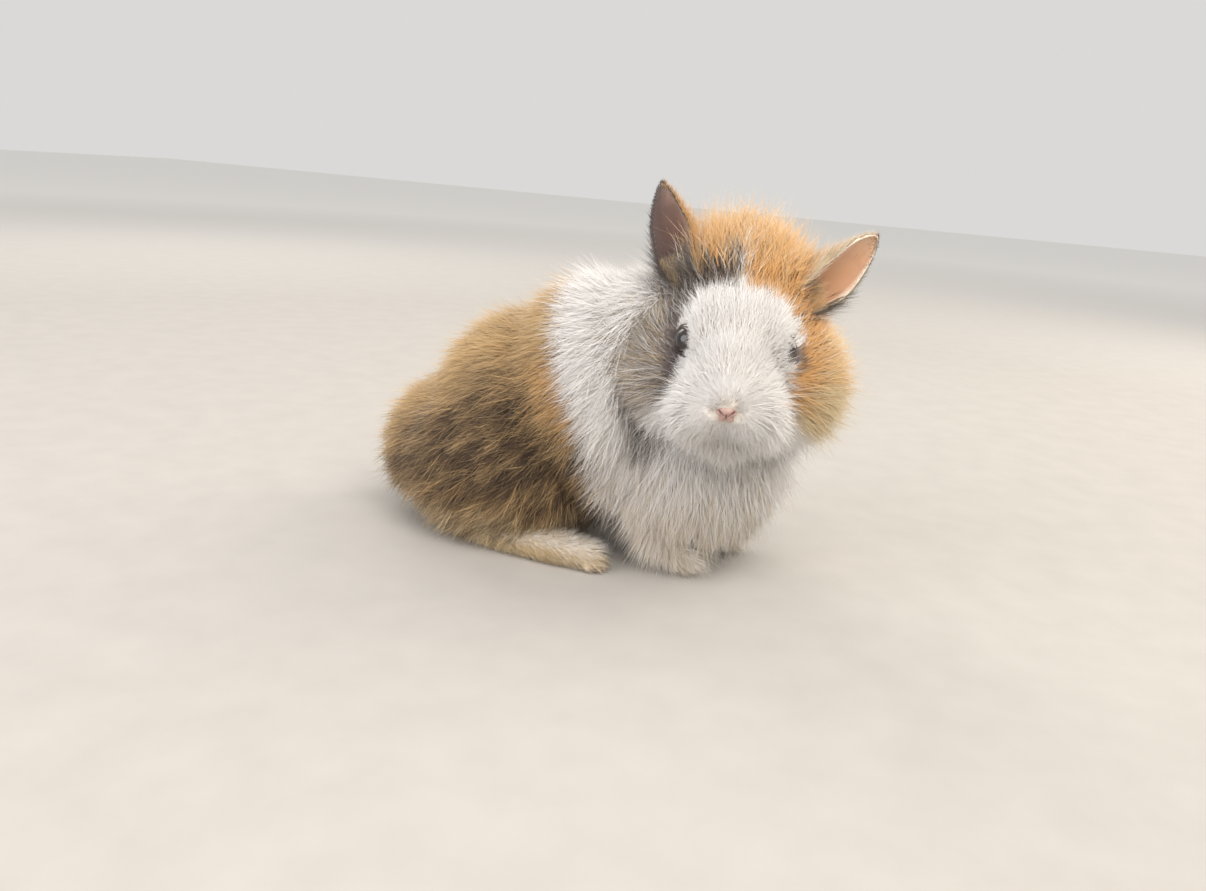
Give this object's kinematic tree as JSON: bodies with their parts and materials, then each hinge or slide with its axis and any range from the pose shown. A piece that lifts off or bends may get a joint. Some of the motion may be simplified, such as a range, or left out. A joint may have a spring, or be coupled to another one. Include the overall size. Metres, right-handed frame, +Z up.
{
  "type": "lionhead rabbit",
  "caption": "Life-size young lionhead rabbit sitting on the floor with its head turned to its right, a still display model with a woolly mane.",
  "frame": {"origin": "on the floor, under the middle of the rabbit's box", "axes": "+Z up, -Y is the way the body heads, +X is the rabbit's left; the head is turned about 78 degrees to the rabbit's right"},
  "size_m": [0.093, 0.1744, 0.1296],
  "materials": {
    "head_coat": "soft wool, white with grey and orange sides",
    "neck_coat": "long white wool",
    "torso_coat": "soft fawn and grey wool",
    "tail_coat": "soft fawn wool",
    "ear_skin": "bare pink skin with fine down",
    "eye": "wet and dark",
    "leg_coat": "short cream fur"
  },
  "bodies": {
    "root": {"head": "head_coat", "neck": "neck_coat", "torso": "torso_coat", "tail": "tail_coat", "ear_left": "ear_skin", "ear_right": "ear_skin", "eye_left": "eye", "eye_right": "eye", "front_leg_left": "leg_coat", "front_leg_right": "leg_coat", "hind_leg_left": "leg_coat", "hind_leg_right": "leg_coat"}
  },
  "joints": []
}
